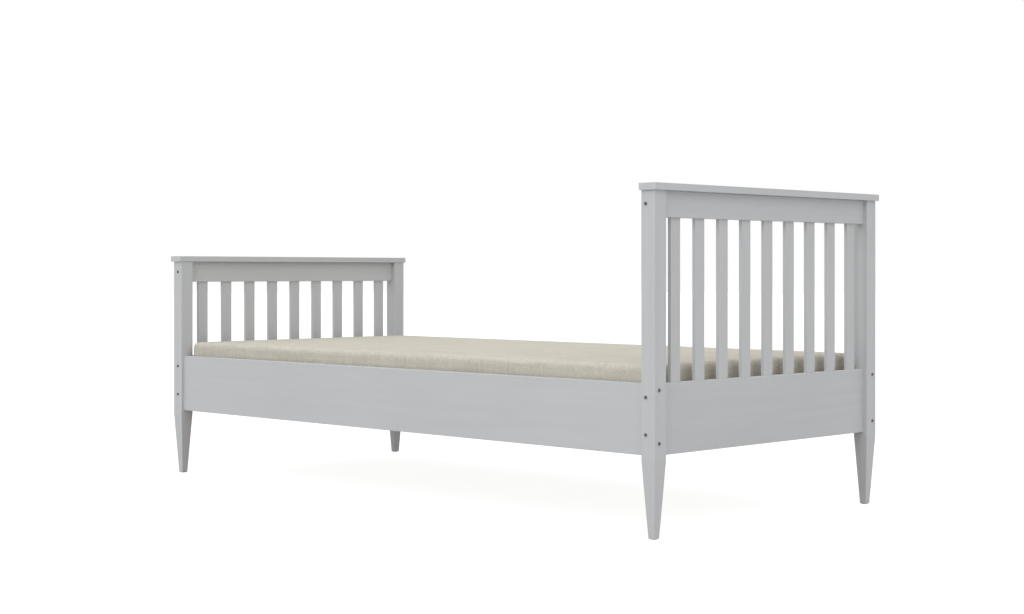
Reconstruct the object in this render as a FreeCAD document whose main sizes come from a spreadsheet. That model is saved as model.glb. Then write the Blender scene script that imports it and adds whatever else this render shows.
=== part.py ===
"""A wooden single bed with slatted head and foot ends, made of separate joined pieces.

The origin lies on the floor under the middle of the bed. +X points to the tall head end, +Y to the
left of someone who stands at the foot and looks to the head, and +Z up. Lengths are in millimetres.

Expressions name the sizes of the sheet directly, so a place that two pieces share is written once
and read by both of them.
"""
import FreeCAD
import Part
import Sketcher
import math
import os
import re
from dataclasses import dataclass

# Driving sizes, in millimetres apart from the counts
SIZES = {
    # Whole bed, over the posts and up to the top of the caps
    "bed_length": 2079,
    "bed_width": 974,
    "head_height": 884,
    "foot_height": 715,
    # Corner posts, each with a leg that tapers on all four sides
    "post_side": 44,
    "post_edge_radius": 1,
    "leg_taper_gap": 11,
    "leg_foot_side": 19.5,
    "leg_foot_radius": 1,
    "leg_tip_chamfer": 0.5,
    # Glide under each leg
    "glide_thickness": 1.2,
    "glide_diameter": 17.5,
    "glide_edge_radius": 0.4,
    "glide_pin_diameter": 3,
    "glide_pin_length": 12,
    # Bottom rails and side rails, which share one height
    "rail_bottom": 207,
    "rail_height": 179,
    "board_edge_radius": 1.5,
    "end_rail_thickness": 22,
    "side_rail_thickness": 22,
    "side_rail_recess": 8.5,
    # Top rails and the caps over them
    "top_rail_height": 67,
    "top_rail_thickness": 24,
    "cap_thickness": 18,
    "cap_overhang": 7.5,
    "cap_inner_overhang": 2.5,
    "cap_edge_radius": 1,
    "cap_corner_radius": 1.5,
    # Upright slats: how far they lie in from the posts' outer faces, and the rails out from them
    "head_slat_recess": 16.5,
    "head_top_rail_proud": 6,
    "head_rail_proud": 4,
    "foot_slat_recess": 13,
    "foot_top_rail_proud": 8.5,
    "foot_rail_proud": 2.5,
    "slat_count": 9,
    "slat_width": 37,
    "slat_thickness": 10,
    "slat_edge_radius": 0.5,
    "slat_end_gap": 37.5,
    "tenon_width": 28,
    "tenon_thickness": 6,
    "tenon_length": 12,
    "tenon_clearance": 0.1,
    "mortise_end_gap": 2,
    # Bolts through the posts, and the barrel nuts that they pull on in the rails
    "bolt_diameter": 6,
    "bolt_clearance": 0.5,
    "bolt_head_diameter": 9,
    "bolt_head_height": 2,
    "bolt_head_chamfer": 0.4,
    "bolt_socket_width": 4,
    "bolt_socket_depth": 3,
    "bolt_tail": 6,
    "bolt_end_gap": 5,
    "head_bolt_setback": 12.5,
    "foot_bolt_setback": 11,
    "top_bolt_drop": 34,
    "end_bolt_top_edge": 33.5,
    "end_bolt_bottom_edge": 52.5,
    "side_bolt_setback": 8,
    "side_bolt_top_edge": 15.5,
    "side_bolt_bottom_edge": 31.5,
    "nut_setback": 25,
    "nut_diameter": 10,
    "nut_length": 8,
    "nut_clearance": 0.2,
    "thread_clearance": 0.2,
    # Dowels between rails and posts, and between the caps and what they lie on
    "dowel_diameter": 8,
    "dowel_length": 40,
    "dowel_chamfer": 1,
    "dowel_clearance": 0.2,
    "dowel_end_gap": 1,
    "end_dowel_offset": 20,
    "top_dowel_offset": 18,
    "side_dowel_spread": 11,
    "cap_dowel_length": 30,
    "cap_dowel_in_cap": 12,
    "cap_dowel_edge": 140,
    # Ledgers on the side rails, and the base slats that lie across them
    "ledger_side": 22,
    "ledger_rise": 36,
    "ledger_end_gap": 10,
    "base_slat_count": 15,
    "base_slat_width": 80,
    "base_slat_thickness": 18,
    "base_slat_side_gap": 4,
    "base_slat_end_gap": 20,
    # Countersunk wood screws
    "screw_diameter": 4,
    "screw_head_diameter": 8,
    "screw_length": 36,
    "screw_tip_length": 4,
    "screw_tip_diameter": 1,
    "screw_recess_width": 2.4,
    "screw_recess_depth": 1.5,
    "screw_clearance": 0.2,
    "screw_end_gap": 1,
    # Mattress: a foam core in a cover, with a crown and sides that are drawn in
    "mattress_thickness": 150,
    "mattress_seat_gap": 0.3,
    "mattress_side_gap": 6.5,
    "mattress_end_gap": 6,
    "mattress_corner_radius": 12,
    "mattress_edge_radius": 15,
    "mattress_crown": 4,
    "mattress_draw": 3,
    "cover_thickness": 4,
    "core_clearance": 0.3,
}

# An edge that rises by less than this is level
LEVEL_TOLERANCE = 1e-6
# Sections through a quarter of the mattress's rounded edge
EDGE_STEPS = 4
# The crown over the mattress's half width: how far in from the edge, and how high, each as a share
CROWN_STEPS = ((0.25, 0.45), (0.55, 0.85), (0.85, 1.0))

DOC = FreeCAD.newDocument("WoodenBed")
SHEET = DOC.addObject("Spreadsheet::Sheet", "Sizes")
for row, (size_name, size) in enumerate(SIZES.items(), start=1):
    SHEET.set(f"A{row}", size_name)
    SHEET.set(f"B{row}", str(size))
    SHEET.setAlias(f"B{row}", size_name)
DOC.recompute()

SIZE_NAME = re.compile(r"\b(" + "|".join(SIZES) + r")\b")
X_AXIS = FreeCAD.Vector(1, 0, 0)
Y_AXIS = FreeCAD.Vector(0, 1, 0)
Z_AXIS = FreeCAD.Vector(0, 0, 1)

# Sketch planes: the plane's role, the bed axes along it and square to it, and its normal's sign
PLANES = {
    "XY": ("XY_Plane", (0, 1), 2, ""),
    "XZ": ("XZ_Plane", (0, 2), 1, "-"),
    "YZ": ("YZ_Plane", (1, 2), 0, ""),
}


def value(expression):
    """Number that an expression over the sheet's sizes comes to."""
    return float(SHEET.evalExpression(expression))


def bind(owner, prop, expression):
    """Ties a property to an expression over the sheet's sizes."""
    owner.setExpression(prop, SIZE_NAME.sub(r"Sizes.\1", expression))


# Places along the bed's height and between its posts
RAIL_TOP = "(rail_bottom + rail_height)"
RAIL_MIDDLE = "(rail_bottom + rail_height / 2)"
LEG_TOP = "(rail_bottom - leg_taper_gap)"
END_SPAN = "(bed_width - 2 * post_side)"
SIDE_SPAN = "(bed_length - 2 * post_side)"
WELL_HALF_WIDTH = "(bed_width / 2 - side_rail_recess - side_rail_thickness)"
SLAT_PITCH = f"(({END_SPAN} - 2 * slat_end_gap - slat_width) / (slat_count - 1))"

# Fastener holes and heights
BOLT_HOLE = "bolt_diameter + bolt_clearance"
BOLT_REACH = "(nut_setback + bolt_tail)"
BOLT_DEPTH = f"{BOLT_REACH} + bolt_end_gap"
NUT_HOLE = "nut_diameter + nut_clearance"
DOWEL_HOLE = "dowel_diameter + dowel_clearance"
DOWEL_DEPTH = "dowel_length / 2 + dowel_end_gap"
CAP_DOWEL_DEPTH = "cap_dowel_length - cap_dowel_in_cap + dowel_end_gap"
SCREW_HOLE = "screw_diameter + screw_clearance"
SCREW_HEAD_HEIGHT = "((screw_head_diameter - screw_diameter) / 2)"
END_BOLT_HEIGHTS = (f"({RAIL_TOP} - end_bolt_top_edge)", "(rail_bottom + end_bolt_bottom_edge)")
END_DOWEL_HEIGHTS = (f"{END_BOLT_HEIGHTS[0]} - end_dowel_offset", f"{END_BOLT_HEIGHTS[1]} + end_dowel_offset")
SIDE_BOLT_HEIGHTS = (f"({RAIL_TOP} - side_bolt_top_edge)", "(rail_bottom + side_bolt_bottom_edge)")
SIDE_DOWEL_MIDDLE = f"(({SIDE_BOLT_HEIGHTS[0]} + {SIDE_BOLT_HEIGHTS[1]}) / 2)"
SIDE_DOWEL_HEIGHTS = (f"{SIDE_DOWEL_MIDDLE} + side_dowel_spread", f"{SIDE_DOWEL_MIDDLE} - side_dowel_spread")
CAP_DOWEL_REACH = f"({END_SPAN} / 2 - cap_dowel_edge)"

# Mattress support
LEDGER_MIDDLE = "(rail_bottom + ledger_rise + ledger_side / 2)"
LEDGER_TOP = "(rail_bottom + ledger_rise + ledger_side)"
LEDGER_LENGTH = f"({SIDE_SPAN} - 2 * ledger_end_gap)"
BASE_TOP = f"({LEDGER_TOP} + base_slat_thickness)"
BASE_PITCH = f"(({LEDGER_LENGTH} - 2 * base_slat_end_gap - base_slat_width) / (base_slat_count - 1))"
BASE_RUN = f"((base_slat_count - 1) * {BASE_PITCH})"
FIRST_BASE_SLAT = f"(-{BASE_RUN} / 2)"
FIRST_LEDGER_SCREW = f"({FIRST_BASE_SLAT} + {BASE_PITCH} / 2)"
LEDGER_SCREW_RUN = f"({BASE_RUN} - {BASE_PITCH})"


@dataclass(frozen=True)
class End:
    """The head or the foot of the bed, and the places that its pieces share."""

    name: str
    sign: int

    def across(self, inset):
        """X of what lies that far in from the outer face of this end's posts."""
        return f"({self.sign} * (bed_length / 2 - ({inset})))"

    @property
    def post_x(self):
        """X of the posts' axes."""
        return self.across("post_side / 2")

    @property
    def post_inner_x(self):
        """X of the posts' faces that the side rails meet."""
        return self.across("post_side")

    @property
    def post_top(self):
        """Height of the posts and of the cap's underside."""
        return f"({self.name}_height - cap_thickness)"

    @property
    def cap_x(self):
        """X of the cap's middle."""
        return self.across("(post_side + cap_inner_overhang - cap_overhang) / 2")

    @property
    def slat_x(self):
        """X of the slats' middle."""
        return self.across(f"{self.name}_slat_recess + slat_thickness / 2")

    @property
    def bolt_inset(self):
        """How far in from the posts' outer faces the end frame's bolts run."""
        return f"({self.name}_slat_recess + {self.name}_bolt_setback)"

    @property
    def bolt_x(self):
        """X of the end frame's bolts."""
        return self.across(self.bolt_inset)

    @property
    def top_rail_bottom(self):
        """Height of the top rail's underside."""
        return f"({self.post_top} - top_rail_height)"

    @property
    def top_bolt_height(self):
        """Height of the bolts into the top rail."""
        return f"({self.post_top} - top_bolt_drop)"

    @property
    def top_dowel_height(self):
        """Height of the dowels into the top rail."""
        return f"({self.top_bolt_height} - top_dowel_offset)"


@dataclass(frozen=True)
class Side:
    """The left or the right of the bed, and the places that its pieces share."""

    name: str
    sign: int

    def across(self, inset):
        """Y of what lies that far in from the outer face of this side's posts."""
        return f"({self.sign} * (bed_width / 2 - ({inset})))"

    @property
    def post_y(self):
        """Y of the posts' axes."""
        return self.across("post_side / 2")

    @property
    def post_inner_y(self):
        """Y of the posts' faces that the end rails meet."""
        return self.across("post_side")

    @property
    def bolt_y(self):
        """Y of the side rail's bolts."""
        return self.across("side_rail_recess + side_bolt_setback")

    @property
    def rail_y(self):
        """Y of the side rail's middle."""
        return self.across("side_rail_recess + side_rail_thickness / 2")

    @property
    def rail_inner_y(self):
        """Y of the side rail's inner face."""
        return f"({self.sign} * {WELL_HALF_WIDTH})"

    @property
    def ledger_y(self):
        """Y of the ledger's middle."""
        return f"({self.sign} * ({WELL_HALF_WIDTH} - ledger_side / 2))"

    @property
    def ledger_inner_y(self):
        """Y of the ledger's inner face."""
        return f"({self.sign} * ({WELL_HALF_WIDTH} - ledger_side))"

    @property
    def nut_y(self):
        """Y of the nuts at this side's ends of the end rails."""
        return f"({self.sign} * ({END_SPAN} / 2 - nut_setback))"


@dataclass(frozen=True)
class EndRail:
    """A rail of an end frame: its name, size and place, and the joints at its ends."""

    end: End
    name: str
    proud: str
    thickness: str
    height: str
    bottom: str
    slat_face: str
    bolt_heights: tuple
    dowel_heights: tuple

    @property
    def recess(self):
        """How far the rail's outer face lies in from the posts' outer faces."""
        return f"({self.end.name}_slat_recess - {self.proud})"

    @property
    def middle_x(self):
        """X of the rail's middle."""
        return self.end.across(f"{self.recess} + {self.thickness} / 2")

    @property
    def inner_x(self):
        """X of the rail's inner face, which the nuts' holes are drilled from."""
        return self.end.across(f"{self.recess} + {self.thickness}")

    @property
    def nut_depth(self):
        """Depth of the nuts' holes, so that a nut at the bottom lies across the bolt."""
        return f"{self.recess} + {self.thickness} - {self.end.bolt_inset} + nut_length / 2"


HEAD = End("head", 1)
FOOT = End("foot", -1)
ENDS = (HEAD, FOOT)
LEFT = Side("left", 1)
RIGHT = Side("right", -1)
SIDES = (LEFT, RIGHT)
BOTTOM_RAILS = {
    end: EndRail(end, f"{end.name}_bottom_rail", f"{end.name}_rail_proud", "end_rail_thickness",
                 "rail_height", "rail_bottom", RAIL_TOP, END_BOLT_HEIGHTS, END_DOWEL_HEIGHTS)
    for end in ENDS
}
TOP_RAILS = {
    end: EndRail(end, f"{end.name}_top_rail", f"{end.name}_top_rail_proud", "top_rail_thickness",
                 "top_rail_height", end.top_rail_bottom, end.top_rail_bottom, (end.top_bolt_height,),
                 (end.top_dowel_height,))
    for end in ENDS
}


class Piece:
    """A body whose origin stands at a named point of the bed, and the features that shape it."""

    def __init__(self, label, at):
        self.body = DOC.addObject("PartDesign::Body", label)
        self.body.Label = label
        self.at = at
        for axis, place in zip("xyz", at):
            bind(self.body, f"Placement.Base.{axis}", place)

    def origin_feature(self, role):
        """Plane or axis of the body's own origin."""
        return next(feature for feature in self.body.Origin.OriginFeatures if feature.Role == role)

    def local(self, axis, place):
        """A place of the bed along an axis, measured from the body's origin."""
        return f"({place}) - ({self.at[axis]})"

    def sketch(self, plane, level=None):
        """Sketch on a plane of the body, moved to a level of the bed along the plane's normal."""
        role, _, normal, sign = PLANES[plane]
        sketch = self.body.newObject("Sketcher::SketchObject", f"Sketch{plane}")
        sketch.AttachmentSupport = (self.origin_feature(role), [""])
        sketch.MapMode = "FlatFace"
        if level is not None:
            bind(sketch, "AttachmentOffset.Base.z", f"{sign}({self.local(normal, level)})")
        return sketch

    def pad(self, sketch, length, symmetric=False):
        """Wood along the sketch's normal, to one side of it or half to each."""
        pad = self.body.newObject("PartDesign::Pad", "Pad")
        pad.Profile = sketch
        pad.SideType = "Symmetric" if symmetric else "One side"
        bind(pad, "Length", length)
        return pad

    def pocket(self, sketch, depth):
        """Cut that goes that deep to each side of the sketch, so that it finds the wood on either side."""
        pocket = self.body.newObject("PartDesign::Pocket", "Pocket")
        pocket.Profile = sketch
        pocket.SideType = "Symmetric"
        bind(pocket, "Length", f"2 * ({depth})")
        return pocket

    def loft(self, sketch, sections):
        """Straight-sided solid through a sketch and the sections after it."""
        loft = self.body.newObject("PartDesign::AdditiveLoft", "Loft")
        loft.Profile = sketch
        loft.Sections = sections
        loft.Ruled = True
        return loft

    def row(self, feature, role, length, count):
        """Repeats a feature along one of the body's axes."""
        pattern = self.body.newObject("PartDesign::LinearPattern", "Row")
        pattern.Originals = [feature]
        pattern.Direction = (self.origin_feature(role), [""])
        bind(pattern, "Length", length)
        bind(pattern, "Occurrences", count)
        self.body.Tip = pattern
        return pattern

    def drill(self, plane, level, centres, diameter, depth):
        """Round holes at places of the bed, square to a plane and from its level."""
        sketch = self.sketch(plane, level)
        axes = PLANES[plane][1]
        for centre in centres:
            add_circle(sketch, diameter, [self.local(axis, place) for axis, place in zip(axes, centre)])
        return self.pocket(sketch, depth)

    def cone(self, kind, at, direction, first_diameter, last_diameter, length):
        """Cone or cylinder from a place of the bed along a direction, added or taken away."""
        cone = self.body.newObject(f"PartDesign::{kind}Cone", "Cone")
        cone.Placement = FreeCAD.Placement(FreeCAD.Vector(), FreeCAD.Rotation(Z_AXIS, direction))
        for index, axis in enumerate("xyz"):
            bind(cone, f"Placement.Base.{axis}", self.local(index, at[index]))
        bind(cone, "Radius1", f"({first_diameter}) / 2")
        bind(cone, "Radius2", f"({last_diameter}) / 2")
        bind(cone, "Height", length)
        return cone

    def dress(self, kind, base, test, prop, size):
        """Fillet or chamfer on the edges of a feature that pass a test."""
        DOC.recompute()
        edges = [f"Edge{number}" for number, edge in enumerate(base.Shape.Edges, start=1) if test(edge)]
        feature = self.body.newObject(f"PartDesign::{kind}", kind)
        feature.Base = (base, edges)
        bind(feature, prop, size)
        return feature


def constrain(sketch, name, expression, kind, *where):
    """Named sketch constraint whose size is an expression."""
    number = sketch.addConstraint(Sketcher.Constraint(kind, *where, value(expression)))
    sketch.renameConstraint(number, name)
    bind(sketch, f"Constraints.{name}", expression)


def add_circle(sketch, diameter, centre=None):
    """Circle about a point of the sketch, or about its origin."""
    start = [value(place) for place in centre] if centre else (0, 0)
    circle = Part.Circle(FreeCAD.Vector(*start, 0), Z_AXIS, value(diameter) / 2)
    number = sketch.addGeometry(circle, False)
    constrain(sketch, f"diameter{number}", diameter, "Diameter", number)
    if centre is None:
        sketch.addConstraint(Sketcher.Constraint("Coincident", number, 3, -1, 1))
        return
    constrain(sketch, f"across{number}", centre[0], "DistanceX", -1, 1, number, 3)
    constrain(sketch, f"along{number}", centre[1], "DistanceY", -1, 1, number, 3)


def add_lines(sketch, points):
    """Closed run of straight lines, joined end to end."""
    count = len(points)
    for number in range(count):
        sketch.addGeometry(Part.LineSegment(points[number], points[(number + 1) % count]), False)
    for number in range(count):
        sketch.addConstraint(Sketcher.Constraint("Coincident", number, 2, (number + 1) % count, 1))


def square_up(sketch):
    """Keeps the four lines of a rectangle level and upright."""
    for number, kind in enumerate(("Horizontal", "Vertical", "Horizontal", "Vertical")):
        sketch.addConstraint(Sketcher.Constraint(kind, number))


def add_rectangle(sketch, width, height, centre=("0", "0")):
    """Sharp rectangle about a point of the sketch."""
    half_x = value(width) / 2
    half_y = value(height) / 2
    middle = FreeCAD.Vector(value(centre[0]), value(centre[1]), 0)
    signs = ((-1, -1), (1, -1), (1, 1), (-1, 1))
    add_lines(sketch, [middle + FreeCAD.Vector(x * half_x, y * half_y, 0) for x, y in signs])
    square_up(sketch)
    constrain(sketch, "width", width, "DistanceX", 0, 1, 0, 2)
    constrain(sketch, "height", height, "DistanceY", 1, 1, 1, 2)
    constrain(sketch, "left", f"{centre[0]} - ({width}) / 2", "DistanceX", -1, 1, 0, 1)
    constrain(sketch, "bottom", f"{centre[1]} - ({height}) / 2", "DistanceY", -1, 1, 0, 1)


def add_rounded_rectangle(sketch, width, height, radius):
    """Rectangle with round corners about the sketch's origin."""
    half_x = value(width) / 2
    half_y = value(height) / 2
    round_size = value(radius)
    flat_x = half_x - round_size
    flat_y = half_y - round_size
    sides = (((-flat_x, -half_y), (flat_x, -half_y)), ((half_x, -flat_y), (half_x, flat_y)),
             ((flat_x, half_y), (-flat_x, half_y)), ((-half_x, flat_y), (-half_x, -flat_y)))
    for start, end in sides:
        sketch.addGeometry(Part.LineSegment(FreeCAD.Vector(*start, 0), FreeCAD.Vector(*end, 0)), False)
    centres = ((flat_x, -flat_y), (flat_x, flat_y), (-flat_x, flat_y), (-flat_x, -flat_y))
    for number, centre in enumerate(centres):
        corner = Part.Circle(FreeCAD.Vector(*centre, 0), Z_AXIS, round_size)
        first_angle = (number - 1) * math.pi / 2
        sketch.addGeometry(Part.ArcOfCircle(corner, first_angle, first_angle + math.pi / 2), False)
    for side in range(4):
        corner = side + 4
        sketch.addConstraint(Sketcher.Constraint("Tangent", side, 2, corner, 1))
        sketch.addConstraint(Sketcher.Constraint("Tangent", corner, 2, (side + 1) % 4, 1))
    square_up(sketch)
    for corner in (5, 6, 7):
        sketch.addConstraint(Sketcher.Constraint("Equal", 4, corner))
    sketch.addConstraint(Sketcher.Constraint("Symmetric", 5, 3, 7, 3, -1, 1))
    constrain(sketch, "radius", radius, "Radius", 4)
    constrain(sketch, "width", width, "DistanceX", 3, 1, 1, 1)
    constrain(sketch, "height", height, "DistanceY", 0, 1, 2, 1)


def add_hexagon(sketch, width):
    """Hexagon about the sketch's origin, by its width across the flats."""
    outer = f"({width}) / cos(30)"
    reach = value(outer) / 2
    corners = [FreeCAD.Vector(reach * math.cos(turn * math.pi / 3), reach * math.sin(turn * math.pi / 3), 0)
               for turn in range(6)]
    add_lines(sketch, corners)
    circle = sketch.addGeometry(Part.Circle(FreeCAD.Vector(), Z_AXIS, reach), True)
    sketch.addConstraint(Sketcher.Constraint("Coincident", circle, 3, -1, 1))
    for number in range(6):
        sketch.addConstraint(Sketcher.Constraint("PointOnObject", number, 1, circle))
    for number in range(1, 6):
        sketch.addConstraint(Sketcher.Constraint("Equal", 0, number))
    sketch.addConstraint(Sketcher.Constraint("Horizontal", 1))
    constrain(sketch, "outer", outer, "Diameter", circle)


def make_post(end, side):
    """Square post with a tapered leg, bored for its rails, its cap and its glide."""
    post = Piece(f"{end.name}_post_{side.name}", (end.post_x, side.post_y, "0"))
    axis = (end.post_x, side.post_y)
    shaft = post.sketch("XY", LEG_TOP)
    add_rounded_rectangle(shaft, "post_side", "post_side", "post_edge_radius")
    post.pad(shaft, f"{end.post_top} - {LEG_TOP}")
    foot = post.sketch("XY", "glide_thickness + leg_tip_chamfer")
    add_rounded_rectangle(foot, "leg_foot_side", "leg_foot_side", "leg_foot_radius")
    tip_side = "leg_foot_side - 2 * leg_tip_chamfer"
    tip = post.sketch("XY", "glide_thickness")
    add_rounded_rectangle(tip, tip_side, tip_side, "leg_foot_radius")
    post.loft(shaft, [foot, tip])
    rails = (BOTTOM_RAILS[end], TOP_RAILS[end])
    end_bolts = [(end.bolt_x, height) for rail in rails for height in rail.bolt_heights]
    post.drill("XZ", side.post_y, end_bolts, BOLT_HOLE, "post_side")
    side_bolts = [(side.bolt_y, height) for height in SIDE_BOLT_HEIGHTS]
    post.drill("YZ", end.post_x, side_bolts, BOLT_HOLE, "post_side")
    end_dowels = [(rail.middle_x, height) for rail in rails for height in rail.dowel_heights]
    post.drill("XZ", side.post_inner_y, end_dowels, DOWEL_HOLE, DOWEL_DEPTH)
    side_dowels = [(side.rail_y, height) for height in SIDE_DOWEL_HEIGHTS]
    post.drill("YZ", end.post_inner_x, side_dowels, DOWEL_HOLE, DOWEL_DEPTH)
    post.drill("XY", end.post_top, [axis], DOWEL_HOLE, CAP_DOWEL_DEPTH)
    pin_hole = "glide_pin_diameter + dowel_clearance"
    post.drill("XY", "glide_thickness", [axis], pin_hole, "glide_pin_length + dowel_end_gap")
    return post.body


def cap_dowel_places(end):
    """Places of the dowels under a cap: one over each post and three along the top rail."""
    rail_x = TOP_RAILS[end].middle_x
    along_rail = [(rail_x, place) for place in ("0", CAP_DOWEL_REACH, f"-{CAP_DOWEL_REACH}")]
    return along_rail, [(end.post_x, side.post_y) for side in SIDES]


def make_end_rail(rail):
    """Board between two posts, with a mortise for each slat and its holes for bolts, nuts and dowels."""
    end = rail.end
    board = Piece(rail.name, (rail.middle_x, "0", f"{rail.bottom} + {rail.height} / 2"))
    profile = board.sketch("XZ")
    add_rounded_rectangle(profile, rail.thickness, rail.height, "board_edge_radius")
    board.pad(profile, END_SPAN, symmetric=True)
    for side in SIDES:
        bolts = [(end.bolt_x, height) for height in rail.bolt_heights]
        board.drill("XZ", side.post_inner_y, bolts, BOLT_HOLE, BOLT_DEPTH)
        dowels = [(rail.middle_x, height) for height in rail.dowel_heights]
        board.drill("XZ", side.post_inner_y, dowels, DOWEL_HOLE, DOWEL_DEPTH)
        nuts = [(side.nut_y, height) for height in rail.bolt_heights]
        board.drill("YZ", rail.inner_x, nuts, NUT_HOLE, rail.nut_depth)
    if rail is TOP_RAILS[end]:
        board.drill("XY", end.post_top, cap_dowel_places(end)[0], DOWEL_HOLE, CAP_DOWEL_DEPTH)
    mortise = board.sketch("XY", rail.slat_face)
    centre = (board.local(0, end.slat_x), slat_y(0))
    thickness = "tenon_thickness + 2 * tenon_clearance"
    width = "tenon_width + 2 * tenon_clearance"
    add_rectangle(mortise, thickness, width, centre)
    cut = board.pocket(mortise, "tenon_length + mortise_end_gap")
    board.row(cut, "Y_Axis", f"(slat_count - 1) * {SLAT_PITCH}", "slat_count")
    return board.body


def make_cap(end):
    """Flat board with rounded edges that lies over both posts and the top rail."""
    cap = Piece(f"{end.name}_cap", (end.cap_x, "0", end.post_top))
    outline = cap.sketch("XY")
    depth = "post_side + cap_overhang + cap_inner_overhang"
    width = "bed_width + 2 * cap_overhang"
    add_rounded_rectangle(outline, depth, width, "cap_corner_radius")
    board = cap.pad(outline, "cap_thickness")
    cap.dress("Fillet", board, is_level, "Radius", "cap_edge_radius")
    on_rail, on_posts = cap_dowel_places(end)
    cap.drill("XY", end.post_top, on_rail + on_posts, DOWEL_HOLE, "cap_dowel_in_cap + dowel_end_gap")
    return cap.body


def is_level(edge):
    """Whether an edge lies in one level plane."""
    return edge.BoundBox.ZLength < LEVEL_TOLERANCE


def is_below(height):
    """Test of whether an edge lies below a height."""
    return lambda edge: edge.BoundBox.ZMax < value(height)


def slat_y(number):
    """Y of an upright slat, counted from the right."""
    return f"(({number} - (slat_count - 1) / 2) * {SLAT_PITCH})"


def make_slat(end, number):
    """Upright slat with a stub tenon at each end."""
    slat = Piece(f"{end.name}_slat_{number + 1}", (end.slat_x, slat_y(number), RAIL_TOP))
    height = f"({end.top_rail_bottom} - {RAIL_TOP})"
    outline = slat.sketch("XY")
    add_rounded_rectangle(outline, "slat_thickness", "slat_width", "slat_edge_radius")
    slat.pad(outline, height)
    tenon = slat.sketch("XY", f"{RAIL_TOP} - tenon_length")
    add_rectangle(tenon, "tenon_thickness", "tenon_width")
    slat.pad(tenon, f"{height} + 2 * tenon_length")
    return slat.body


def make_side_rail(side):
    """Deep board between a head post and a foot post, drilled for its joints and its ledger."""
    rail = Piece(f"side_rail_{side.name}", ("0", side.rail_y, RAIL_MIDDLE))
    profile = rail.sketch("YZ")
    add_rounded_rectangle(profile, "side_rail_thickness", "rail_height", "board_edge_radius")
    rail.pad(profile, SIDE_SPAN, symmetric=True)
    nut_depth = "side_rail_thickness - side_bolt_setback + nut_length / 2"
    for end in ENDS:
        bolts = [(side.bolt_y, height) for height in SIDE_BOLT_HEIGHTS]
        rail.drill("YZ", end.post_inner_x, bolts, BOLT_HOLE, BOLT_DEPTH)
        dowels = [(side.rail_y, height) for height in SIDE_DOWEL_HEIGHTS]
        rail.drill("YZ", end.post_inner_x, dowels, DOWEL_HOLE, DOWEL_DEPTH)
        nuts = [(side_nut_x(end), height) for height in SIDE_BOLT_HEIGHTS]
        rail.drill("XZ", side.rail_inner_y, nuts, NUT_HOLE, nut_depth)
    pilot = rail.drill("XZ", side.rail_inner_y, [(FIRST_LEDGER_SCREW, LEDGER_MIDDLE)], SCREW_HOLE,
                       "screw_length - ledger_side + screw_end_gap")
    rail.row(pilot, "X_Axis", LEDGER_SCREW_RUN, "base_slat_count - 1")
    return rail.body


def side_nut_x(end):
    """X of the nuts at one end of the side rails."""
    return f"({end.sign} * ({SIDE_SPAN} / 2 - nut_setback))"


def make_ledger(side):
    """Square strip on the inside of a side rail, which the base slats lie on."""
    ledger = Piece(f"slat_ledger_{side.name}", ("0", side.ledger_y, LEDGER_MIDDLE))
    profile = ledger.sketch("YZ")
    add_rounded_rectangle(profile, "ledger_side", "ledger_side", "board_edge_radius")
    ledger.pad(profile, LEDGER_LENGTH, symmetric=True)
    first = (FIRST_LEDGER_SCREW, LEDGER_MIDDLE)
    through = ledger.drill("XZ", side.ledger_y, [first], SCREW_HOLE, "ledger_side")
    ledger.row(through, "X_Axis", LEDGER_SCREW_RUN, "base_slat_count - 1")
    sink = countersink(ledger, (first[0], side.ledger_inner_y, first[1]), Y_AXIS * side.sign)
    ledger.row(sink, "X_Axis", LEDGER_SCREW_RUN, "base_slat_count - 1")
    pilot = ledger.drill("XY", LEDGER_TOP, [(FIRST_BASE_SLAT, side.ledger_y)], SCREW_HOLE,
                         "screw_length - base_slat_thickness + screw_end_gap")
    ledger.row(pilot, "X_Axis", BASE_RUN, "base_slat_count")
    return ledger.body


def countersink(piece, at, direction):
    """Seat for a screw's head, level with the face that it is sunk into."""
    return piece.cone("Subtractive", at, direction, "screw_head_diameter + screw_clearance", SCREW_HOLE,
                      SCREW_HEAD_HEIGHT)


def base_slat_x(number):
    """X of a base slat, counted from the foot."""
    return f"({FIRST_BASE_SLAT} + {number} * {BASE_PITCH})"


def make_base_slat(number):
    """Flat slat across the ledgers, with a sunk screw at each end."""
    middle = f"{LEDGER_TOP} + base_slat_thickness / 2"
    slat = Piece(f"base_slat_{number + 1:02d}", (base_slat_x(number), "0", middle))
    profile = slat.sketch("XZ")
    add_rounded_rectangle(profile, "base_slat_width", "base_slat_thickness", "board_edge_radius")
    slat.pad(profile, f"2 * ({WELL_HALF_WIDTH} - base_slat_side_gap)", symmetric=True)
    screws = [(base_slat_x(number), side.ledger_y) for side in SIDES]
    slat.drill("XY", BASE_TOP, screws, SCREW_HOLE, "base_slat_thickness")
    for across, along in screws:
        countersink(slat, (across, along, BASE_TOP), -Z_AXIS)
    return slat.body


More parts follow.
